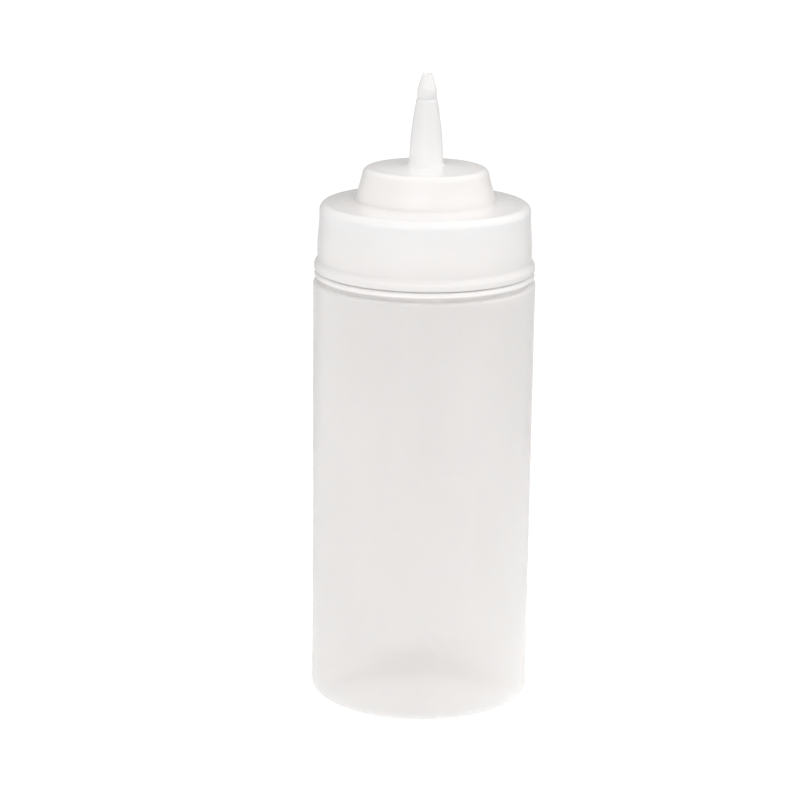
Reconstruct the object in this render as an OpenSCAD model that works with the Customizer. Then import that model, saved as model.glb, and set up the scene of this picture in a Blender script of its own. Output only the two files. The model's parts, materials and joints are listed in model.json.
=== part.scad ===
// Wide-mouth squeeze dispenser for sauces: a blown bottle, a sealing ring on its
// rim, and a screw-on lid that rises through a round turret to a cone nozzle.
// Every shell is a surface of revolution about +Z. The origin is at the centre
// of the foot, on the plane the bottle stands on. All sizes are millimetres.

/* [Bottle] */
// Outside diameter of the body
body_d = 70; // [70:0.2:80]
// Height of the ledge that ends the body
body_h = 134.5; // [90:0.5:180]
// Radius of the heel between the body and the foot
heel_r = 0.9; // [0.8:0.1:3]
// Thickness of the blown body wall
wall_t = 1.1; // [0.8:0.1:1.3]
// Rise of the domed base above the foot
base_rise = 3.6; // [2:0.2:6]
// Width of the flat foot ring
foot_w = 3.6; // [2:0.2:6]
// Diameter of the bead between the body and the neck
bead_d = 69.2; // [68:0.1:69.2]

/* [Neck and thread] */
// Outside diameter of the neck below its thread
neck_d = 59.8; // [59.6:0.1:60]
// Diameter of the mouth
mouth_d = 57; // [56.9:0.1:57.4]
// Height of one full turn of the thread
lead = 4.233; // [4:0.001:4.4]
// Turns of thread on the neck, and on the lid
thread_turns = 1.5; // [1:0.25:1.5]
// Diameter over the neck's thread
thread_d = 62; // [61.6:0.1:62]

/* [Lid] */
// Diameter of the lip round the lid's open end
lip_d = 69.5; // [68.6:0.1:70]
// Diameter of the lower part of the skirt
skirt_d = 67.4; // [66.8:0.1:68]
// Diameter of the upper part of the skirt
crown_d = 66.2; // [65.4:0.1:66.4]
// Diameter inside the skirt
lid_bore_d = 62.8; // [62.6:0.1:63]
// Height of the lid from its lip to its shoulder, where the turret stands
lid_h = 22; // [21.8:0.1:24]
// Thickness of the moulded lid
lid_t = 1.5; // [1.3:0.1:1.7]
// Radius of the rounded edge round the shoulder
crown_r = 2.4; // [1.8:0.1:3]

/* [Turret and nozzle] */
// Diameter of the turret where it leaves the shoulder
turret_d = 43.4; // [40:0.2:45]
// Height of the turret
turret_h = 11; // [9:0.1:15]
// Draft of the turret wall, in millimetres of radius over its height
turret_draft = 1.9; // [1:0.1:2.5]
// Radius of the rounded edge round the turret's top
turret_r = 2.3; // [1.8:0.1:3.5]
// Height of the nozzle above the turret
nozzle_h = 28.45; // [24.05:0.1:45.05]
// Diameter of the nozzle where it leaves the turret
nozzle_d = 10.8; // [10:0.1:12]
// Diameter of the nozzle's collar, below its end cone
collar_d = 6; // [5.6:0.1:6.4]
// Diameter of the outlet
outlet_d = 2.2; // [1.6:0.1:2.6]

/* [Hidden] */

// Facets used where a round shape is drawn
round_fn = 144;
// Clearance above and below the sealing ring
ring_gap = 0.05;
// Thickness of the sealing ring
ring_t = 1.2;
// Gap between the bead and the lid's lip
lip_gap = 0.35;
// Height of the bead above the ledge, with the groove under it
bead_h = 3.15;
// Angle between two sections of a thread ridge
ridge_step = 10;
// Share of a ridge's length over which each of its ends fades out
ridge_fade = 0.05;
// Depth by which a ridge is rooted in its wall
ridge_root = 0.5;
// Height of the neck's ridge below the rim, at the ridge's upper end
ridge_below_rim = 2.3;
// How far the lid's ridge runs below the neck's ridge, at the same angle
ridge_offset = 1.43;
// Fall of the shoulder from the turret out to its rounded edge
shoulder_fall = 0.9;
// Fall of the turret's top from the nozzle out to its rounded edge
turret_fall = 0.8;
// Step in radius where the nozzle's cone meets the collar
collar_step = 0.3;
// Height of the collar's lower edge below the tip
collar_l = 8;
// Axial widths of the neck's ridge and of the lid's ridge, at root and at crest
neck_ridge_w = [2.2, 1.0];
lid_ridge_w = [1.8, 0.8];

body_r = body_d / 2;
bead_r = bead_d / 2;
neck_r = neck_d / 2;
mouth_r = mouth_d / 2;
lip_r = lip_d / 2;
skirt_r = skirt_d / 2;
crown_side_r = crown_d / 2;
lid_bore_r = lid_bore_d / 2;
bead_z = body_h + bead_h;
lip_z = bead_z + lip_gap;
shoulder_z = lip_z + lid_h;
ceiling_z = shoulder_z - shoulder_fall - lid_t;
rim_z = ceiling_z - ring_t - 2 * ring_gap;
turret_z = shoulder_z + turret_h;
tip_z = turret_z + nozzle_h;
neck_ridge_z = rim_z - ridge_below_rim - thread_turns * lead;

// Points along an arc in the (radius, height) plane, from angle a0 to a1
function arc(cr, cz, rad, a0, a1, n = 8) =
    [for (i = [0:n]) let (a = a0 + (a1 - a0) * i / n) [cr + rad * cos(a), cz + rad * sin(a)]];

// 0 to 1 with a level start and end
function ease(t) = t * t * (3 - 2 * t);

// Points of a soft step from one radius and height to another
function soft_step(r0, z0, r1, z1, n = 8) =
    [for (i = [0:n]) [r0 + (r1 - r0) * ease(i / n), z0 + (z1 - z0) * i / n]];

// ---- Bottle ----

// Height of the dome under the base at a distance from the axis
function base_z(r) =
    let (edge = body_r - heel_r - foot_w)
    base_rise * (1 - pow(min(r, edge) / edge, 2));

module bottle_profile() {
    foot_r = body_r - heel_r;
    dome_r = foot_r - foot_w;
    ledge_r = 1;
    bead_round = 1.25;
    groove_a = 75;
    groove_r = bead_r - bead_round * (1 - cos(groove_a));
    neck_fillet = 0.8;
    rim_round = 0.4;
    inner_r = body_r - wall_t;
    floor_t = 1.3 * wall_t;
    heel_in = 2.2;
    hip_r = 2.8;
    hip_z = body_h - 2.4;
    throat_z = bead_z + 1.35;
    outside = concat(
        [for (i = [0:8]) [dome_r * i / 8, base_z(dome_r * i / 8)]],
        arc(foot_r, heel_r, heel_r, 270, 360),
        arc(body_r - ledge_r, body_h - ledge_r, ledge_r, 0, 90),
        [[groove_r, body_h]],
        arc(bead_r - bead_round, bead_z - bead_round, bead_round, -groove_a, 90),
        arc(neck_r + neck_fillet, bead_z + neck_fillet, neck_fillet, 270, 180, 4),
        arc(neck_r - rim_round, rim_z - rim_round, rim_round, 0, 90, 4)
    );
    inside = concat(
        [[mouth_r, rim_z]],
        arc(mouth_r + hip_r, throat_z, hip_r, 180, 260, 6),
        arc(inner_r - hip_r, hip_z, hip_r, 80, 0, 6),
        arc(inner_r - heel_in, floor_t + heel_in, heel_in, 0, -90),
        [for (i = [8:-1:0]) [dome_r * i / 8, base_z(dome_r * i / 8) + floor_t]]
    );
    polygon(concat(outside, inside));
}

// The line where the blown tube was pinched off, a low rib across the dome
module pinch_seam() {
    seam_l = 36;
    seam_w = 0.8;
    seam_h = 0.4;
    steps = 12;
    xs = [for (i = [0:steps]) -seam_l / 2 + seam_l * i / steps];
    rotate([90, 0, 0])
        linear_extrude(height = seam_w, center = true)
            polygon(concat(
                [for (x = xs) [x, base_z(abs(x)) - seam_h * (1 - pow(2 * x / seam_l, 4))]],
                [for (i = [steps:-1:0]) [xs[i], base_z(abs(xs[i])) + wall_t / 2]]
            ));
}

module bottle() {
    color([0.87, 0.9, 0.89])
        union() {
            rotate_extrude($fn = round_fn) bottle_profile();
            helical_ridge(0, neck_ridge_z, neck_r - ridge_root, thread_d / 2, neck_ridge_w);
            pinch_seam();
        }
}

// ---- Threads ----

// Radius of a ridge's crest at a share t of its length: it fades into its root at both ends
function crest_at(t, root_r, crest_r) =
    let (fade = min(1, t / ridge_fade, (1 - t) / ridge_fade))
    root_r + (crest_r - root_r) * (0.3 + 0.7 * ease(fade));

// Section of a ridge in the (radius, height) plane, innermost edge first
function ridge_section(root_r, crest_r, w) =
    crest_r > root_r
        ? [[root_r, -w[0] / 2], [crest_r, -w[1] / 2], [crest_r, w[1] / 2], [root_r, w[0] / 2]]
        : [[crest_r, -w[1] / 2], [root_r, -w[0] / 2], [root_r, w[0] / 2], [crest_r, w[1] / 2]];

// Right-hand ridge that starts at angle a0 and height z0, and climbs one lead a turn
module helical_ridge(a0, z0, root_r, crest_r, w) {
    steps = ceil(thread_turns * 360 / ridge_step);
    points = [
        for (i = [0:steps])
            let (
                t = i / steps,
                a = a0 + thread_turns * 360 * t,
                z = z0 + thread_turns * lead * t
            )
            for (p = ridge_section(root_r, crest_at(t, root_r, crest_r), w))
                [p[0] * cos(a), p[0] * sin(a), z + p[1]]
    ];
    sides = [
        for (i = [0:steps - 1])
            for (k = [0:3])
                let (
                    a = 4 * i + k,
                    b = 4 * i + (k + 1) % 4
                )
                for (face = [[a, b, b + 4], [a, b + 4, a + 4]])
                    face
    ];
    last = 4 * steps;
    caps = [[2, 1, 0], [3, 2, 0], [last, last + 1, last + 2], [last, last + 2, last + 3]];
    polyhedron(points = points, faces = concat(sides, caps), convexity = 6);
}

// ---- Sealing ring ----

module sealing_ring() {
    ring_in_r = mouth_r - 0.15;
    ring_out_r = lid_bore_r - 0.2;
    edge = 0.3;
    z0 = rim_z + ring_gap;
    z1 = z0 + ring_t;
    color([0.93, 0.93, 0.9])
        rotate_extrude($fn = round_fn)
            polygon([
                [ring_in_r + edge, z0],
                [ring_out_r - edge, z0],
                [ring_out_r, z0 + edge],
                [ring_out_r, z1 - edge],
                [ring_out_r - edge, z1],
                [ring_in_r + edge, z1],
                [ring_in_r, z1 - edge],
                [ring_in_r, z0 + edge]
            ]);
}

// ---- Lid ----

// Radius of the nozzle at height z above the turret, below its collar
function nozzle_r(z) =
    let (
        straight = 7.2,
        cone_top = nozzle_h - collar_l - 0.3,
        low = nozzle_d / 2 - 0.43,
        high = collar_d / 2 + collar_step,
        t = (z - straight) / (cone_top - straight)
    )
    z < straight
        ? nozzle_d / 2 + (low - nozzle_d / 2) * z / straight
        : low + (high - low) * pow(min(t, 1), 1.3);

module lid_profile() {
    turret_top_r = turret_d / 2 - turret_draft;
    collar_z = tip_z - collar_l;
    collar_r = collar_d / 2;
    lip_round = 0.5;
    foot_fillet = 0.8;
    base_fillet = 1.3;
    tip_r = 1.55;
    tip_round = 0.35;
    outlet_r = outlet_d / 2;
    outlet_l = 3;
    nozzle_t = 1.15;
    fin_out_r = mouth_r - 0.3;
    fin_in_r = fin_out_r - 1;
    fin_z = ceiling_z - 2.6;
    entry_r = lid_bore_r + 1.5;
    inner_turret_r = turret_d / 2 - lid_t;
    outside = concat(
        arc(lip_r - lip_round, lip_z + lip_round, lip_round, 270, 360, 5),
        soft_step(lip_r, lip_z + 1.6, skirt_r, lip_z + 3.9),
        soft_step(skirt_r, lip_z + 7, crown_side_r, lip_z + 17.5),
        arc(crown_side_r - crown_r, shoulder_z - shoulder_fall - crown_r, crown_r, 0, 84, 10),
        arc(turret_d / 2 + foot_fillet, shoulder_z + foot_fillet, foot_fillet, 270, 187, 5),
        arc(turret_top_r - turret_r, turret_z - turret_fall - turret_r, turret_r, 10, 86, 10),
        arc(nozzle_d / 2 + base_fillet, turret_z + base_fillet, base_fillet, 270, 184, 5),
        [for (i = [1:20]) let (z = base_fillet + (nozzle_h - collar_l - 0.3 - base_fillet) * i / 20)
            [nozzle_r(z), turret_z + z]],
        [[collar_r, collar_z], [collar_r - 0.06, tip_z - 5], [collar_r - 0.4, tip_z - 3.6]],
        arc(tip_r - tip_round, tip_z - tip_round, tip_round, 20, 90, 4)
    );
    inside = concat(
        [[outlet_r, tip_z], [outlet_r, tip_z - outlet_l]],
        [for (i = [8:-1:0]) let (z = 1.2 + (nozzle_h - collar_l - 1.2) * i / 8)
            [nozzle_r(z) - nozzle_t, turret_z + z]],
        arc(nozzle_d / 2 - nozzle_t + 1.6, turret_z - lid_t - 1.6, 1.6, 175, 90, 5),
        arc(turret_top_r - turret_r, turret_z - turret_fall - turret_r, turret_r - lid_t, 90, 10, 6),
        arc(inner_turret_r + 1, shoulder_z - lid_t + 1, 1, 187, 270, 4),
        [
            [fin_in_r, ceiling_z],
            [fin_in_r + 0.2, fin_z],
            [fin_out_r - 0.3, fin_z],
            [fin_out_r, fin_z + 0.8],
            [fin_out_r, ceiling_z],
            [lid_bore_r, ceiling_z]
        ],
        soft_step(lid_bore_r, lip_z + 4, entry_r, lip_z, 6)
    );
    polygon(concat(outside, inside));
}

module cone_tip_lid() {
    lid_ridge_a = 180;
    color([0.96, 0.96, 0.94])
        union() {
            rotate_extrude($fn = round_fn) lid_profile();
            helical_ridge(
                -lid_ridge_a,
                neck_ridge_z - ridge_offset - lead * lid_ridge_a / 360,
                lid_bore_r + ridge_root,
                lid_bore_r - 1.1,
                lid_ridge_w
            );
        }
}

bottle();
sealing_ring();
cone_tip_lid();
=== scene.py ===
"""Wide-mouth squeeze dispenser: the looks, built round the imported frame.

Bottle, sealing ring and lid are lathed here at a finer grain than the CAD, with the marks
that their moulding leaves. Profiles are in millimetres; meshes and the scene are in metres.
"""

import json
import math

import bpy
import numpy as np
from mathutils import Matrix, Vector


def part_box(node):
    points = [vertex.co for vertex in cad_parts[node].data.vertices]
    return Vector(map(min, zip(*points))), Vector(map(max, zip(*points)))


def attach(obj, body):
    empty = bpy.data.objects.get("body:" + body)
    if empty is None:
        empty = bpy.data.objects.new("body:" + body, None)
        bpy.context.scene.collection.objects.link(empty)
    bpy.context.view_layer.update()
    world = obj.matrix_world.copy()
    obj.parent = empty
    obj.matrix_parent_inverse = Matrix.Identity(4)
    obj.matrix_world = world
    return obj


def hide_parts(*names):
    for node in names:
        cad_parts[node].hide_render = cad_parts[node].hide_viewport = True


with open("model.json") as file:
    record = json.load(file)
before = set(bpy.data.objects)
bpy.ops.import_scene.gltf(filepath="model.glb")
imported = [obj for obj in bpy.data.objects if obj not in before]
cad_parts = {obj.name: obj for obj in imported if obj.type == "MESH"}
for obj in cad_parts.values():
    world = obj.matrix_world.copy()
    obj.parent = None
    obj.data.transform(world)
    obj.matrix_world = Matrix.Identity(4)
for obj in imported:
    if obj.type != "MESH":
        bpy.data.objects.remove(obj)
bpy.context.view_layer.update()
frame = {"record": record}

MM = 0.001
BOTTLE, RING, LID = "bottle", "sealing_ring", "cone_tip_lid"


# ---------------------------------------------------------------- sizes, from the frame

# Clearances, heights and radii that the boxes of the nodes don't give
RING_GAP, LIP_GAP = 0.05, 0.25
LID_T, SHOULDER_FALL, TURRET_H, BEAD_H = 1.5, 0.9, 11.0, 3.25
NECK_R, MOUTH_R, LID_BORE_R = 29.9, 28.5, 31.4


def node_size(name):
    """Largest radius, lowest and highest point of a CAD node, in millimetres."""
    low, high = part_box(name)
    return high.x / MM, low.z / MM, high.z / MM


body_r, _, rim_z = node_size(BOTTLE)
ring_out_r, ring_z0, ring_z1 = node_size(RING)
lip_r, lip_z, tip_z = node_size(LID)

lead = 2 * math.pi * frame["record"]["behaviour"]["couplings"][0]["ratio"] / MM
ceiling_z = ring_z1 + RING_GAP
crown_z = ceiling_z + LID_T
shoulder_z = crown_z + SHOULDER_FALL
turret_z = shoulder_z + TURRET_H
bead_z = lip_z - LIP_GAP
ledge_z = bead_z - BEAD_H


# ---------------------------------------------------------------- profile curves

def line(r0, z0, r1, z1, step=1.0):
    """Points along a straight stretch, its far end left to the next curve."""
    n = max(1, int(math.hypot(r1 - r0, z1 - z0) / step + 0.5))
    return [(r0 + (r1 - r0) * i / n, z0 + (z1 - z0) * i / n) for i in range(n)]


def arc(cr, cz, rad, a0, a1, n=8):
    """Points along an arc, angles in degrees."""
    turns = np.radians(np.linspace(a0, a1, n + 1))
    return [(cr + rad * math.cos(a), cz + rad * math.sin(a)) for a in turns]


def ease(t):
    """0 to 1 with a level start and end."""
    return t * t * (3 - 2 * t)


def soft_step(r0, z0, r1, z1, n=16):
    """A soft step from one radius and height to another."""
    return [(r0 + (r1 - r0) * ease(i / n), z0 + (z1 - z0) * i / n) for i in range(n + 1)]


def lathe(name, profile, marks, angles):
    """A closed mesh turned from a closed (radius, height) profile.

    marks(r, z, angle, normal) gives how far each point stands out along the profile's normal.
    """
    rz = np.array(profile, float)
    after, before = np.roll(rz, -1, 0), np.roll(rz, 1, 0)
    along = after - before
    normal = np.stack([along[:, 1], -along[:, 0]], 1)
    normal /= np.maximum(np.linalg.norm(normal, axis=1), 1e-9)[:, None]
    out = marks(rz[:, :1], rz[:, 1:], angles[None, :], normal)
    on_axis = rz[:, 0] < 1e-6
    r = rz[:, :1] + normal[:, :1] * out
    z = rz[:, 1:] + normal[:, 1:] * out
    r[on_axis] = 0.0
    x, y = r * np.cos(angles)[None, :], r * np.sin(angles)[None, :]

    n, m = len(rz), len(angles)
    index = np.full((n, m), -1)
    points = []
    for i in range(n):
        if on_axis[i]:
            index[i] = len(points)
            points.append((0.0, 0.0, float(z[i].mean()) * MM))
        else:
            index[i] = range(len(points), len(points) + m)
            points += [(x[i, k] * MM, y[i, k] * MM, z[i, k] * MM) for k in range(m)]
    faces = []
    for i in range(n):
        j = (i + 1) % n
        if on_axis[i] and on_axis[j]:
            continue
        for k in range(m):
            q = (k + 1) % m
            corners = [index[i, k], index[i, q], index[j, q], index[j, k]]
            face = [int(c) for c in dict.fromkeys(corners)]
            if len(face) > 2:
                faces.append(face)
    mesh = bpy.data.meshes.new(name)
    mesh.from_pydata(points, [], faces)
    mesh.validate()
    mesh.update()
    for polygon in mesh.polygons:
        polygon.use_smooth = True
    piece = bpy.data.objects.new(name, mesh)
    bpy.context.scene.collection.objects.link(piece)
    return piece


def lathe_angles(count, seam_half_width=0.03, seam_count=12):
    """Angles round the axis, closer together at the mould's parting planes on +X and -X."""
    even = np.linspace(-math.pi / 2, 1.5 * math.pi, count, endpoint=False)
    fine = np.linspace(-seam_half_width, seam_half_width, seam_count)
    every = np.concatenate([even] + [fine + seam for seam in (0.0, math.pi)])
    return np.unique(np.round(every, 5))


THREAD_TURNS, RIDGE_FADE = 1.5, 0.05


def ridge_height(z, angle, start, z0, depth, root_w, crest_w):
    """Height of a right-hand thread ridge that starts at an angle and a height."""
    height = np.zeros(np.broadcast(z, angle).shape)
    wrapped = np.mod(angle - start, 2 * math.pi)
    for lap in range(int(THREAD_TURNS) + 1):
        share = (wrapped / (2 * math.pi) + lap) / THREAD_TURNS
        centre = z0 + share * THREAD_TURNS * lead
        flank = (root_w / 2 - np.abs(z - centre)) / (root_w / 2 - crest_w / 2)
        fade = np.clip(np.minimum(share, 1 - share) / RIDGE_FADE, 0, 1)
        height = np.maximum(height, depth * ease(np.clip(flank, 0, 1)) * ease(fade))
    return height


# ---------------------------------------------------------------- bottle

HEEL_R, FOOT_W, BASE_RISE = 0.9, 3.6, 3.6
WALL_T, FLOOR_T = 1.1, 1.43
BEAD_R, BEAD_ROUND, GROOVE_A = 34.6, 1.25, 75
# The neck's thread: its depth, axial widths at root and crest, and the rim's height over it
NECK_RIDGE_D, NECK_ROOT_W, NECK_CREST_W, RIM_OVER_RIDGE = 1.1, 2.2, 1.0, 2.3
neck_ridge_z = rim_z - RIM_OVER_RIDGE - THREAD_TURNS * lead
# The mould's parting line, and how far the CAD's facets lie inside the true circle
PARTING_H, PARTING_W, FACET_SLACK = 0.05, 0.14, 0.02
# The pinch-off under the base: half its length, its height and width
PINCH_HALF_L, PINCH_H, PINCH_W = 18, 0.4, 0.35
# The weld on the floor inside: its rib, and the swelling beside it
WELD_H, WELD_W, SWELL_H, SWELL_W = 0.7, 1.1, 0.9, 26
# Waves of a blown wall: laps round the body, turn per millimetre up, phase, share
WAVES = ((2, 0.035, 0.6, 1.0), (3, -0.06, 2.1, 0.6), (5, 0.11, 4.4, 0.4), (0, 0.21, 1.3, 0.3))
WAVE_DEPTH = 0.03


def base_z(r):
    """Height of the dome under the base at a distance from the axis."""
    edge = body_r - HEEL_R - FOOT_W
    return BASE_RISE * (1 - (min(r, edge) / edge) ** 2)


def dome(edge_r, count, lift=0.0):
    """Points across the domed base, from the axis out."""
    return [(edge_r * i / count, base_z(edge_r * i / count) + lift) for i in range(count + 1)]


def bottle_profile():
    """From the axis under the base, out and up the outside, and back down the inside."""
    outer_r = body_r - PARTING_H - FACET_SLACK
    foot_r = outer_r - HEEL_R
    dome_r = foot_r - FOOT_W
    inner_r = outer_r - WALL_T
    bead_in_r = BEAD_R - BEAD_ROUND
    groove_r = BEAD_R - BEAD_ROUND * (1 - math.cos(math.radians(GROOVE_A)))
    ledge_round, groove_round, neck_round, rim_out, rim_in = 1.0, 0.08, 0.8, 0.4, 0.3
    heel_in, hip_r, hip_z, throat_z = 2.2, 2.8, ledge_z - 2.4, bead_z + 1.35
    points = dome(dome_r, 30)
    points += line(dome_r + 0.6, 0, foot_r, 0)
    points += arc(foot_r, HEEL_R, HEEL_R, 270, 360, 10)
    points += line(outer_r, HEEL_R + 0.8, outer_r, ledge_z - ledge_round, 1.6)
    points += arc(outer_r - ledge_round, ledge_z - ledge_round, ledge_round, 0, 88, 10)
    points += arc(groove_r + groove_round, ledge_z + groove_round, groove_round, 260, 180, 3)
    points += arc(bead_in_r, bead_z - BEAD_ROUND, BEAD_ROUND, 5 - GROOVE_A, 90, 18)
    points += line(bead_in_r - 0.5, bead_z, NECK_R + neck_round, bead_z, 0.6)
    points += arc(NECK_R + neck_round, bead_z + neck_round, neck_round, 270, 180, 6)
    points += line(NECK_R, bead_z + 1.2, NECK_R, rim_z - 0.5, 0.16)
    points += arc(NECK_R - rim_out, rim_z - rim_out, rim_out, 0, 90, 5)
    points += arc(MOUTH_R + rim_in, rim_z - rim_in, rim_in, 90, 180, 4)
    points += line(MOUTH_R, rim_z - 1.0, MOUTH_R, bead_z + 1.6, 1.2)
    points += arc(MOUTH_R + hip_r, throat_z, hip_r, 180, 260, 8)
    points += arc(inner_r - hip_r, hip_z, hip_r, 80, 0, 8)
    points += line(inner_r, ledge_z - 4, inner_r, FLOOR_T + heel_in + 1, 2.6)
    points += arc(inner_r - heel_in, FLOOR_T + heel_in, heel_in, 0, -90, 8)
    points += reversed(dome(dome_r, 16, FLOOR_T))
    return points


def bottle_marks(r, z, angle, normal):
    """Parting lines, pinch-off seam, thread and the slight unevenness of a blown wall."""
    outside = (r * normal[:, :1] > 0) | (z < BASE_RISE + 0.01)
    from_seam = r * np.abs(np.sin(angle))
    on_wall = outside & (z > 0.2) & (z < rim_z - 1)
    parting = PARTING_H * np.exp(-(from_seam / PARTING_W) ** 2) * on_wall

    blown = ease(np.clip((z - 4) / 12, 0, 1)) * ease(np.clip((ledge_z - 3 - z) / 10, 0, 1))
    waves = sum(share * np.sin(laps * angle + rise * z + phase)
                for laps, rise, phase, share in WAVES)
    crest = sum(wave[3] for wave in WAVES)
    hollows = WAVE_DEPTH * blown * (waves + crest) * outside

    along_seam = np.clip(1 - (np.abs(r * np.cos(angle)) / PINCH_HALF_L) ** 6, 0, 1)
    under = (z < BASE_RISE + 0.01) & (normal[:, 1:] < 0)
    pinch = PINCH_H * along_seam * np.exp(-(from_seam / PINCH_W) ** 2) * under

    floor = (normal[:, 1:] > 0.5) & (z < BASE_RISE + 2) & (r < body_r - HEEL_R - FOOT_W)
    swelling = SWELL_H * np.clip(1 - from_seam / SWELL_W, 0, 1)
    weld = (WELD_H * np.exp(-(from_seam / WELD_W) ** 2) + swelling) * along_seam * floor

    on_neck = outside & (z > bead_z + 1)
    ridge = ridge_height(z, angle, 0.0, neck_ridge_z, NECK_RIDGE_D, NECK_ROOT_W, NECK_CREST_W)
    return parting - hollows + pinch + weld + ridge * on_neck


# ---------------------------------------------------------------- sealing ring

RING_WAVE = 0.01


def ring_profile():
    """A flat ring with softly rounded edges."""
    inner_r, edge = MOUTH_R - 0.15, 0.3
    points = line(inner_r + edge, ring_z0, ring_out_r - edge, ring_z0, 0.4)
    points += arc(ring_out_r - edge, ring_z0 + edge, edge, 270, 360, 5)
    points += arc(ring_out_r - edge, ring_z1 - edge, edge, 0, 90, 5)
    points += line(ring_out_r - edge - 0.3, ring_z1, inner_r + edge, ring_z1, 0.4)
    points += arc(inner_r + edge, ring_z1 - edge, edge, 90, 180, 5)
    points += arc(inner_r + edge, ring_z0 + edge, edge, 180, 262, 5)
    return points


def ring_marks(r, z, angle, normal):
    """A slight waviness, as of a ring cut from sheet."""
    return -RING_WAVE * (1 + np.sin(7 * angle + 3 * z)) * np.ones_like(r)


# ---------------------------------------------------------------- lid

SKIRT_R, CROWN_SIDE_R, CROWN_R = 33.7, 33.1, 2.4
# Heights above the lip: the flare's start and end, and the skirt taper's start and end
FLARE_Z0, FLARE_Z1, TAPER_Z0, TAPER_Z1 = 1.6, 3.9, 7.0, 17.5
TURRET_R, TURRET_DRAFT, TURRET_ROUND, TURRET_FALL = 21.7, 1.9, 2.3, 0.8
NOZZLE_R, NOZZLE_WAIST, NOZZLE_FILLET, NOZZLE_T = 5.4, 0.43, 1.3, 1.15
# The nozzle's nearly straight foot, and the rise of the step under its collar
NOZZLE_FOOT_H, COLLAR_STEP_H = 7.2, 0.3
COLLAR_R, COLLAR_L, COLLAR_STEP, OUTLET_R = 3.0, 8.0, 0.3, 1.1
# The sealing fin under the lid's ceiling
FIN_R, FIN_T, FIN_H = MOUTH_R - 0.3, 1.0, 2.6
# The lid's thread: its depth, axial widths at root and crest, and its drop under the neck's,
# which it meets half a turn round
LID_RIDGE_D, LID_ROOT_W, LID_CREST_W, LID_RIDGE_DROP = 1.1, 1.8, 0.8, 1.43
lid_ridge_z = neck_ridge_z - LID_RIDGE_DROP - lead / 2
# A witness line round the lip, and the depth of the sinks in the skirt
WITNESS_H, WITNESS_Z, WITNESS_W, SINK_DEPTH = 0.03, 1.1, 0.12, 0.015


def nozzle_r(z):
    """Radius of the nozzle at a height above the turret, below its collar."""
    cone_top = tip_z - turret_z - COLLAR_L - COLLAR_STEP_H
    low, high = NOZZLE_R - NOZZLE_WAIST, COLLAR_R + COLLAR_STEP
    if z < NOZZLE_FOOT_H:
        return NOZZLE_R + (low - NOZZLE_R) * z / NOZZLE_FOOT_H
    share = min((z - NOZZLE_FOOT_H) / (cone_top - NOZZLE_FOOT_H), 1)
    return low + (high - low) * share ** 1.3


def lid_outside():
    """From the lip up the skirt, shoulder, turret and nozzle to the outlet."""
    lip_round, foot_round, tip_round, tip_r = 0.5, 0.8, 0.35, 1.55
    turret_top_r = TURRET_R - TURRET_DRAFT
    crown_in_r, turret_in_r = CROWN_SIDE_R - CROWN_R, turret_top_r - TURRET_ROUND
    edge_z = turret_z - TURRET_FALL
    fillet_r = NOZZLE_R + NOZZLE_FILLET
    cone_top = tip_z - turret_z - COLLAR_L - COLLAR_STEP_H
    points = arc(lip_r - lip_round, lip_z + lip_round, lip_round, 270, 360, 8)
    points += soft_step(lip_r, lip_z + FLARE_Z0, SKIRT_R, lip_z + FLARE_Z1, 18)
    points += line(SKIRT_R, lip_z + FLARE_Z1 + 0.6, SKIRT_R, lip_z + TAPER_Z0 - 0.5, 0.8)
    points += soft_step(SKIRT_R, lip_z + TAPER_Z0, CROWN_SIDE_R, lip_z + TAPER_Z1, 22)
    points += arc(crown_in_r, crown_z - CROWN_R, CROWN_R, 0, 84, 22)
    points += line(crown_in_r - 0.5, crown_z + 0.05, TURRET_R + 1.4, shoulder_z - 0.05, 0.7)
    points += arc(TURRET_R + foot_round, shoulder_z + foot_round, foot_round, 270, 190, 8)
    points += line(TURRET_R - 0.1, shoulder_z + 1.4, turret_top_r + 0.1, turret_z - 3.4, 0.8)
    points += arc(turret_in_r, edge_z - TURRET_ROUND, TURRET_ROUND, 10, 85, 22)
    points += line(turret_in_r - 0.4, edge_z + 0.04, fillet_r + 0.6, turret_z - 0.02, 0.7)
    points += arc(fillet_r, turret_z + NOZZLE_FILLET, NOZZLE_FILLET, 270, 184, 12)
    heights = np.linspace(NOZZLE_FILLET + 0.6, cone_top, 36)
    points += [(nozzle_r(h), turret_z + h) for h in heights]
    points += soft_step(COLLAR_R + COLLAR_STEP - 0.06, cone_top + turret_z + 0.1,
                        COLLAR_R, tip_z - COLLAR_L + 0.1, 5)
    points += line(COLLAR_R, tip_z - 7.4, COLLAR_R - 0.06, tip_z - 5.0, 0.5)
    points += soft_step(COLLAR_R - 0.06, tip_z - 4.9, COLLAR_R - 0.4, tip_z - 3.6, 5)
    points += line(COLLAR_R - 0.5, tip_z - 3.3, tip_r + 0.07, tip_z - 0.6, 0.5)
    points += arc(tip_r - tip_round, tip_z - tip_round, tip_round, 15, 90, 6)
    return points


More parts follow.
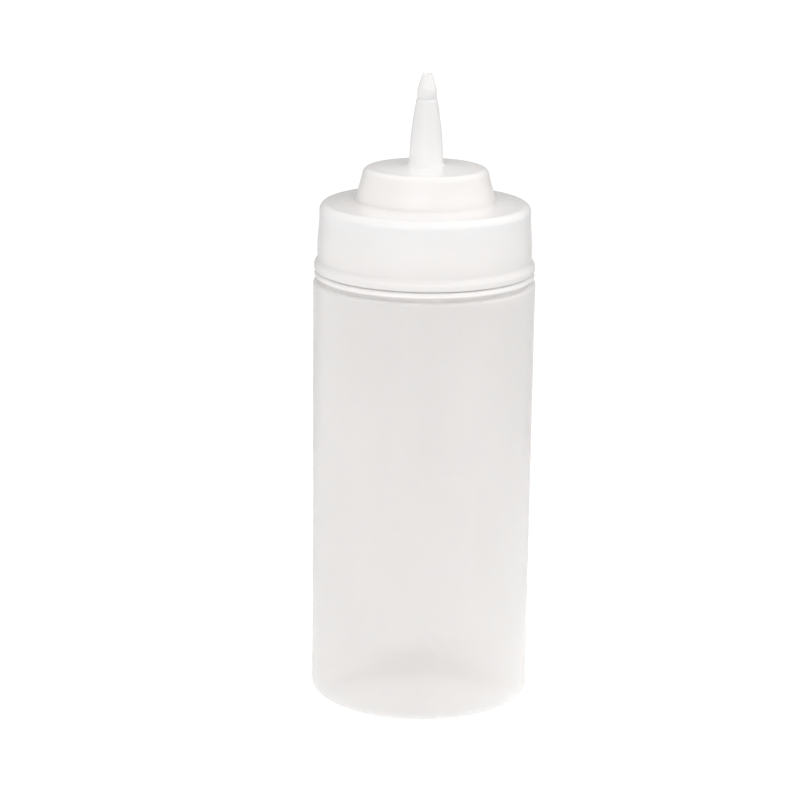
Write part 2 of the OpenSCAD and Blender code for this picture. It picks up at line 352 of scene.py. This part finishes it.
def lid_inside():
    """From the outlet down the nozzle, over the sealing fin and down the bore to the lip."""
    turret_top_r = TURRET_R - TURRET_DRAFT
    turret_in_r = turret_top_r - TURRET_ROUND
    edge_z = turret_z - TURRET_FALL
    mouth_round, foot_round, corner, entry_flare = 1.6, 1.0, 0.3, 1.5
    points = line(OUTLET_R, tip_z - 0.12, OUTLET_R, tip_z - 3.0, 0.4)
    heights = np.linspace(tip_z - turret_z - COLLAR_L, 1.2, 20)
    points += [(nozzle_r(h) - NOZZLE_T, turret_z + h) for h in heights]
    points += arc(NOZZLE_R - NOZZLE_T + mouth_round, turret_z - LID_T - mouth_round, mouth_round,
                  175, 90, 6)
    points += line(8, turret_z - LID_T, turret_in_r - 0.4, edge_z - LID_T, 1.6)
    points += arc(turret_in_r, edge_z - TURRET_ROUND, TURRET_ROUND - LID_T, 90, 10, 8)
    points += line(turret_top_r - LID_T, turret_z - 4, TURRET_R - LID_T - 0.1, shoulder_z + 0.6,
                   1.4)
    points += arc(TURRET_R - LID_T + foot_round, shoulder_z - LID_T + foot_round, foot_round,
                  187, 270, 6)
    points += line(TURRET_R, shoulder_z - LID_T - 0.05, FIN_R - FIN_T - 0.2, ceiling_z, 1.2)
    points += [(FIN_R - FIN_T, ceiling_z - 0.2), (FIN_R - 0.8, ceiling_z - FIN_H),
               (FIN_R - 0.3, ceiling_z - FIN_H), (FIN_R, ceiling_z - 1.8),
               (FIN_R, ceiling_z - 0.1), (FIN_R + 0.2, ceiling_z)]
    points += line(FIN_R + 0.6, ceiling_z, LID_BORE_R - corner, ceiling_z, 1.0)
    points += arc(LID_BORE_R - corner, ceiling_z - corner, corner, 90, 0, 4)
    points += line(LID_BORE_R, ceiling_z - 0.6, LID_BORE_R, lip_z + 4.2, 0.18)
    points += soft_step(LID_BORE_R, lip_z + 4, LID_BORE_R + entry_flare, lip_z, 10)
    return points


def lid_marks(r, z, angle, normal):
    """The thread inside the skirt, a witness line round the lip, and slight sinks."""
    outside = normal[:, :1] > 0
    in_bore = (normal[:, :1] < 0) & (r > LID_BORE_R - 0.01) & (z < ceiling_z - 0.4)
    ridge = ridge_height(z, angle, -math.pi, lid_ridge_z, LID_RIDGE_D, LID_ROOT_W, LID_CREST_W)
    witness = WITNESS_H * np.exp(-((z - lip_z - WITNESS_Z) / WITNESS_W) ** 2) * outside
    skirt = ease(np.clip((z - lip_z - 3) / 4, 0, 1)) * (z < crown_z - CROWN_R) * outside
    sinks = SINK_DEPTH * skirt * (1 + np.sin(4 * angle + 0.5 * z + 1.0))
    on_flare, on_lip = r > lip_r - 0.75, r > lip_r - 0.25
    return ridge * in_bore + witness * on_flare - WITNESS_H * on_lip - sinks


# ---------------------------------------------------------------- materials

def node(tree, kind, values=None, **settings):
    """A new node, with its inputs set from values and its properties from settings."""
    made = tree.nodes.new(kind)
    for key, value in settings.items():
        setattr(made, key, value)
    for key, value in (values or {}).items():
        made.inputs[key].default_value = value
    return made


def noise(tree, coords, scale, detail=3.0, stretch=(1, 1, 1)):
    """Noise in object space; stretch scales the coordinates along each axis."""
    mapping = node(tree, "ShaderNodeMapping", {"Scale": stretch})
    tree.links.new(coords, mapping.inputs["Vector"])
    made = node(tree, "ShaderNodeTexNoise", {"Scale": scale, "Detail": detail})
    tree.links.new(mapping.outputs[0], made.inputs["Vector"])
    return made.outputs["Fac"]


def remap(tree, value, low, high, to_low, to_high):
    """The value carried from one range to another, and held at that range's ends."""
    made = node(tree, "ShaderNodeMapRange", {"From Min": low, "From Max": high,
                                            "To Min": to_low, "To Max": to_high})
    tree.links.new(value, made.inputs["Value"])
    return made.outputs[0]


def mix_colour(tree, share, first, second):
    """The first colour turned toward the second by a share; each is a tuple or a socket."""
    made = node(tree, "ShaderNodeMix", data_type="RGBA")
    for socket, value in ((6, first), (7, second)):
        if isinstance(value, tuple):
            made.inputs[socket].default_value = (*value, 1)
        else:
            tree.links.new(value, made.inputs[socket])
    tree.links.new(share, made.inputs[0])
    return made.outputs[2]


def product(tree, *factors):
    """The product of several values, as one socket."""
    result = factors[0]
    for factor in factors[1:]:
        times = node(tree, "ShaderNodeMath", operation="MULTIPLY")
        for socket, value in zip(times.inputs, (result, factor)):
            if isinstance(value, (int, float)):
                socket.default_value = value
            else:
                tree.links.new(value, socket)
        result = times.outputs[0]
    return result


def plastic(name, tint, tint_low, smooth, rough, gloss, scatter, scatter_mm):
    """Milky satin plastic with faint mottling between two tints, scuffs and orange peel.

    smooth and rough are the ends of its roughness, the scuffs taking the rougher third.
    scatter is the share of light that scatters inside, over about scatter_mm.
    """
    material = bpy.data.materials.new(name)
    material.use_nodes = True
    tree = material.node_tree
    tree.nodes.clear()
    coords = node(tree, "ShaderNodeTexCoord").outputs["Object"]

    mottle = remap(tree, noise(tree, coords, 24, 4), 0.35, 0.65, 0, 1)
    colour = mix_colour(tree, mottle, tint, tint_low)
    scuffed = rough - (rough - smooth) / 3
    scuffs = remap(tree, noise(tree, coords, 60, 4, (6, 6, 1)), 0.5, 0.75, 0, rough - scuffed)
    grain = noise(tree, coords, 420, 3)
    satin = node(tree, "ShaderNodeMath", operation="ADD")
    tree.links.new(scuffs, satin.inputs[0])
    tree.links.new(remap(tree, grain, 0.3, 0.7, smooth, scuffed), satin.inputs[1])

    peel = node(tree, "ShaderNodeBump", {"Strength": 0.3, "Distance": 0.000004})
    tree.links.new(noise(tree, coords, 260, 2), peel.inputs["Height"])
    fine = node(tree, "ShaderNodeBump", {"Strength": 0.1, "Distance": 0.000002})
    tree.links.new(grain, fine.inputs["Height"])
    tree.links.new(peel.outputs[0], fine.inputs["Normal"])

    surface = node(tree, "ShaderNodeBsdfPrincipled", {
        "IOR": 1.51,
        "Specular IOR Level": gloss,
        "Subsurface Weight": scatter,
        "Subsurface Radius": (1.0, 0.95, 0.9),
        "Subsurface Scale": scatter_mm * MM,
    })
    tree.links.new(colour, surface.inputs["Base Color"])
    tree.links.new(satin.outputs[0], surface.inputs["Roughness"])
    tree.links.new(fine.outputs[0], surface.inputs["Normal"])
    output = node(tree, "ShaderNodeOutputMaterial")
    tree.links.new(surface.outputs[0], output.inputs["Surface"])
    return material


def let_through(material, share, top_z):
    """Lets part of the light straight through the wall, most where it is seen square on.

    From top_z up the wall soon becomes thick and lets none through.
    """
    tree = material.node_tree
    output = tree.get_output_node("ALL")
    surface = output.inputs["Surface"].links[0].from_socket
    facing = node(tree, "ShaderNodeLayerWeight", {"Blend": 0.35}).outputs["Facing"]
    place = node(tree, "ShaderNodeSeparateXYZ")
    tree.links.new(node(tree, "ShaderNodeTexCoord").outputs["Object"], place.inputs[0])
    through = product(
        tree,
        remap(tree, facing, 0, 1, share, 0.1 * share),
        remap(tree, place.outputs["Z"], top_z * MM, (top_z + 0.6) * MM, 1, 0),
    )
    clear = node(tree, "ShaderNodeBsdfTransparent", {"Color": (0.96, 0.955, 0.95, 1)})
    both = node(tree, "ShaderNodeMixShader")
    tree.links.new(through, both.inputs[0])
    tree.links.new(surface, both.inputs[1])
    tree.links.new(clear.outputs[0], both.inputs[2])
    tree.links.new(both.outputs[0], output.inputs["Surface"])
    return material


def paint_light_by_height(material, stops):
    """Paints light and shade into the colour by height, standing in for the wall being more or
    less lit from within.

    stops are (height, share of the colour), from low to high.
    """
    tree = material.node_tree
    surface = next(n for n in tree.nodes if n.type == "BSDF_PRINCIPLED")
    colour = surface.inputs["Base Color"].links[0].from_socket
    place = node(tree, "ShaderNodeSeparateXYZ")
    tree.links.new(node(tree, "ShaderNodeTexCoord").outputs["Object"], place.inputs[0])
    share = 1
    for (low, low_share), (high, high_share) in zip(stops, stops[1:]):
        step = remap(tree, place.outputs["Z"], low * MM, high * MM, 1, high_share / low_share)
        share = product(tree, share, step)
    dimmed = node(tree, "ShaderNodeVectorMath", operation="SCALE")
    tree.links.new(colour, dimmed.inputs[0])
    tree.links.new(product(tree, share, stops[0][1]), dimmed.inputs["Scale"])
    tree.links.new(dimmed.outputs[0], surface.inputs["Base Color"])
    return material


def shade_floor(material, tint):
    """Paints shade on the inside of the base: the rear half of its floor, over the pinch-off weld,
    is darker.

    The patch starts 12 mm in front of the axis and fades out behind it, soonest at its sides.
    """
    tree = material.node_tree
    surface = next(n for n in tree.nodes if n.type == "BSDF_PRINCIPLED")
    colour = surface.inputs["Base Color"].links[0].from_socket
    coords = node(tree, "ShaderNodeTexCoord").outputs["Object"]
    place = node(tree, "ShaderNodeSeparateXYZ")
    tree.links.new(coords, place.inputs[0])
    facing = node(tree, "ShaderNodeSeparateXYZ")
    tree.links.new(node(tree, "ShaderNodeNewGeometry").outputs["Normal"], facing.inputs[0])
    aside = node(tree, "ShaderNodeMath", {1: 2 * MM}, operation="SUBTRACT")
    tree.links.new(place.outputs["X"], aside.inputs[0])
    beside = node(tree, "ShaderNodeMath", operation="ABSOLUTE")
    tree.links.new(aside.outputs[0], beside.inputs[0])
    spread = node(tree, "ShaderNodeMath", {1: 0.6}, operation="MULTIPLY_ADD")
    tree.links.new(beside.outputs[0], spread.inputs[0])
    tree.links.new(place.outputs["Y"], spread.inputs[2])
    patch = product(
        tree,
        remap(tree, place.outputs["Y"], -12 * MM, -8 * MM, 0, 1),
        remap(tree, spread.outputs[0], 8 * MM, 20 * MM, 1, 0),
        remap(tree, place.outputs["Z"], 6 * MM, 8 * MM, 1, 0),
        remap(tree, facing.outputs["Z"], 0.2, 0.5, 0, 1),
    )
    tree.links.new(mix_colour(tree, patch, colour, tint), surface.inputs["Base Color"])
    return material


# ---------------------------------------------------------------- pieces

def bottle_plastic():
    """Natural polyethylene, see-through where it is thin and opaque from the bead up, with painted
    shade on the base's floor and over the bead and neck.
    """
    material = plastic("bottle_plastic", (0.975, 0.96, 0.952), (0.97, 0.955, 0.947),
                       smooth=0.215, rough=0.265, gloss=0.5, scatter=1.0, scatter_mm=2.0)
    # Painted shade: the rear half of the floor inside the base turns towards this darker grey.
    shade_floor(material, (0.57, 0.55, 0.53))
    # Painted shade: the colour is 7 % darker from just above the ledge up, over the bead and the
    # neck.
    paint_light_by_height(material, ((ledge_z + 0.2, 1.0), (ledge_z + 1.4, 0.93)))
    return let_through(material, 0.55, ledge_z + 1.3)


def ring_foam():
    """Off-white foam, dull and soft."""
    return plastic("seal_foam", (0.84, 0.83, 0.79), (0.80, 0.79, 0.75),
                   smooth=0.55, rough=0.7, gloss=0.4, scatter=0.5, scatter_mm=1.0)


def lid_plastic():
    """Natural white polyethylene, with painted light and shade by height: brightest under the
    shoulder, darkest at the lip.
    """
    material = plastic("lid_plastic", (0.905, 0.892, 0.882), (0.897, 0.884, 0.874),
                       smooth=0.2, rough=0.265, gloss=0.33, scatter=1.0, scatter_mm=2.5)
    # Painted light and shade by height: darkest at the lip, a painted highlight on the skirt under
    # the crown, darker crown and turret wall, a darker band over the turret's rounded edge, and
    # lighter on the turret's top and the nozzle's foot.
    return paint_light_by_height(material, (
        (lip_z, 0.925), (crown_z - 8, 0.985), (crown_z - 4, 1.045), (crown_z - 1.5, 1.045),
        (crown_z, 0.95), (turret_z - 3, 0.95), (turret_z - 2, 0.93), (turret_z - 0.9, 0.93),
        (turret_z - 0.6, 1.01), (turret_z + 1, 1.04), (tip_z - 8, 1.0),
    ))


def finish_piece(piece, node_name, body, material):
    """Gives a piece its material and its body, and hides the CAD node it replaces."""
    piece.data.materials.append(material)
    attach(piece, body)
    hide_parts(node_name)


shell_angles, ring_angles = lathe_angles(216), lathe_angles(180)
finish_piece(
    lathe("bottle_shell", bottle_profile(), bottle_marks, shell_angles),
    BOTTLE, "bottle", bottle_plastic(),
)
finish_piece(
    lathe("sealing_washer", ring_profile(), ring_marks, ring_angles),
    RING, "sealing_ring", ring_foam(),
)
finish_piece(
    lathe("lid_shell", lid_outside() + lid_inside(), lid_marks, shell_angles),
    LID, "lid", lid_plastic(),
)


# ---------------------------------------------------------------- stage, light and camera

FLOOR_SIZE, TABLE_R = 16, 0.28
# Distances from the axis between which the table's own glow fades out
GLOW_NEAR, GLOW_FAR = 0.03, 0.14
SEEN_GREY, TABLE_GREY, BACKDROP = 0.25, 0.8, 1.05


def stage_floor(shine, under_shine):
    """A white floor for the camera that is a round table top for all other light.

    shine is the floor's glow to the camera, and under_shine the table's, close to the bottle.
    """
    bpy.ops.mesh.primitive_plane_add(size=FLOOR_SIZE)
    floor = bpy.context.object
    floor.name = "floor"
    material = bpy.data.materials.new("pale_floor")
    material.use_nodes = True
    tree = material.node_tree
    tree.nodes.clear()
    distance = node(tree, "ShaderNodeVectorMath", operation="LENGTH")
    position = node(tree, "ShaderNodeNewGeometry").outputs["Position"]
    tree.links.new(position, distance.inputs[0])

    seen_glow = node(tree, "ShaderNodeEmission", {"Strength": shine})
    seen_lit = node(tree, "ShaderNodeBsdfDiffuse", {"Color": (*[SEEN_GREY] * 3, 1)})
    seen = node(tree, "ShaderNodeAddShader")
    tree.links.new(seen_glow.outputs[0], seen.inputs[0])
    tree.links.new(seen_lit.outputs[0], seen.inputs[1])

    table_glow = node(tree, "ShaderNodeEmission")
    near = remap(tree, distance.outputs["Value"], GLOW_NEAR, GLOW_FAR, under_shine, 0)
    tree.links.new(near, table_glow.inputs["Strength"])
    table_lit = node(tree, "ShaderNodeBsdfDiffuse", {"Color": (*[TABLE_GREY] * 3, 1)})
    table = node(tree, "ShaderNodeAddShader")
    tree.links.new(table_glow.outputs[0], table.inputs[0])
    tree.links.new(table_lit.outputs[0], table.inputs[1])
    beyond = node(tree, "ShaderNodeMath", {1: TABLE_R}, operation="GREATER_THAN")
    tree.links.new(distance.outputs["Value"], beyond.inputs[0])
    unseen = node(tree, "ShaderNodeMixShader")
    tree.links.new(beyond.outputs[0], unseen.inputs[0])
    tree.links.new(table.outputs[0], unseen.inputs[1])
    tree.links.new(node(tree, "ShaderNodeBsdfTransparent").outputs[0], unseen.inputs[2])

    both = node(tree, "ShaderNodeMixShader")
    path = node(tree, "ShaderNodeLightPath")
    tree.links.new(path.outputs["Is Camera Ray"], both.inputs[0])
    tree.links.new(unseen.outputs[0], both.inputs[1])
    tree.links.new(seen.outputs[0], both.inputs[2])
    tree.links.new(both.outputs[0], node(tree, "ShaderNodeOutputMaterial").inputs[0])
    floor.data.materials.append(material)


def studio_world(panels, tint):
    """A dark studio with soft round panels. Azimuth 0 is the camera's side, 90 is +X.

    panels are (azimuth, elevation, sharpness, strength); each falls off smoothly round its middle.
    """
    world = bpy.data.worlds.new("studio")
    world.use_nodes = True
    tree = world.node_tree
    tree.nodes.clear()
    direction = node(tree, "ShaderNodeTexCoord").outputs["Generated"]
    total = None
    for azimuth, elevation, sharpness, strength in panels:
        a, e = math.radians(azimuth), math.radians(elevation)
        middle = (math.sin(a) * math.cos(e), -math.cos(a) * math.cos(e), math.sin(e))
        towards = node(tree, "ShaderNodeVectorMath", {1: middle}, operation="DOT_PRODUCT")
        tree.links.new(direction, towards.inputs[0])
        depth = node(tree, "ShaderNodeMath", {1: sharpness, 2: -sharpness},
                     operation="MULTIPLY_ADD")
        tree.links.new(towards.outputs["Value"], depth.inputs[0])
        falloff = node(tree, "ShaderNodeMath", operation="EXPONENT")
        tree.links.new(depth.outputs[0], falloff.inputs[0])
        panel = product(tree, falloff.outputs[0], strength)
        if total is not None:
            both = node(tree, "ShaderNodeMath", operation="ADD")
            tree.links.new(total, both.inputs[0])
            tree.links.new(panel, both.inputs[1])
            panel = both.outputs[0]
        total = panel
    lights = node(tree, "ShaderNodeBackground", {"Color": (*tint, 1)})
    tree.links.new(total, lights.inputs["Strength"])
    backdrop = node(tree, "ShaderNodeBackground", {"Color": (1, 1, 1, 1), "Strength": BACKDROP})
    both = node(tree, "ShaderNodeMixShader")
    path = node(tree, "ShaderNodeLightPath")
    tree.links.new(path.outputs["Is Camera Ray"], both.inputs[0])
    tree.links.new(lights.outputs[0], both.inputs[1])
    tree.links.new(backdrop.outputs[0], both.inputs[2])
    tree.links.new(both.outputs[0], node(tree, "ShaderNodeOutputWorld").inputs[0])
    world.cycles.sampling_method = "MANUAL"
    world.cycles.sample_map_resolution = 256
    bpy.context.scene.world = world


def camera():
    """The photograph's viewpoint: a long lens, above the lid and looking down a little."""
    distance, height, side = 0.761, 0.3025, -0.0072
    pitch, roll = math.radians(15.25), math.radians(0.70)
    data = bpy.data.cameras.new("camera")
    data.sensor_width, data.lens = 36, 111.29
    data.clip_start, data.clip_end = 0.01, 50
    made = bpy.data.objects.new("camera", data)
    tilt = Matrix.Rotation(math.pi / 2 - pitch, 4, "X") @ Matrix.Rotation(roll, 4, "Z")
    made.matrix_world = Matrix.Translation((side, -distance, height)) @ tilt
    bpy.context.scene.collection.objects.link(made)
    bpy.context.scene.camera = made


FRONT_PANELS = [(343, 18, 9, 2.0), (0, 9, 14, 0.5)]
SIDE_PANELS = [(50, 34, 7, 1.0), (90, 32, 7, 1.3), (270, 34, 7, 0.55), (315, 34, 7, 0.45)]
REAR_PANELS = [(110, 9, 14, 0.4), (250, 9, 14, 0.4), (180, 65, 5, 1.5)]
LOW_RIGHT_PANELS = [(28, -16, 30, 0.65), (50, -16, 30, 0.85), (75, -16, 30, 0.5),
                    (130, -16, 30, 0.4), (165, -16, 30, 0.8)]
LOW_LEFT_PANELS = [(332, -16, 30, 0.85), (298, -16, 30, 1.15), (265, -16, 30, 1.15),
                   (235, -16, 30, 1.0), (200, -16, 30, 0.7)]

stage_floor(0.8, 0.3)
studio_world(
    FRONT_PANELS + SIDE_PANELS + REAR_PANELS + LOW_RIGHT_PANELS + LOW_LEFT_PANELS,
    (1.015, 1.0, 0.992),
)
camera()

scene = bpy.context.scene
scene.view_settings.view_transform = "Standard"
scene.cycles.diffuse_bounces = 12
scene.cycles.max_bounces = 24
scene.cycles.transparent_max_bounces = 24
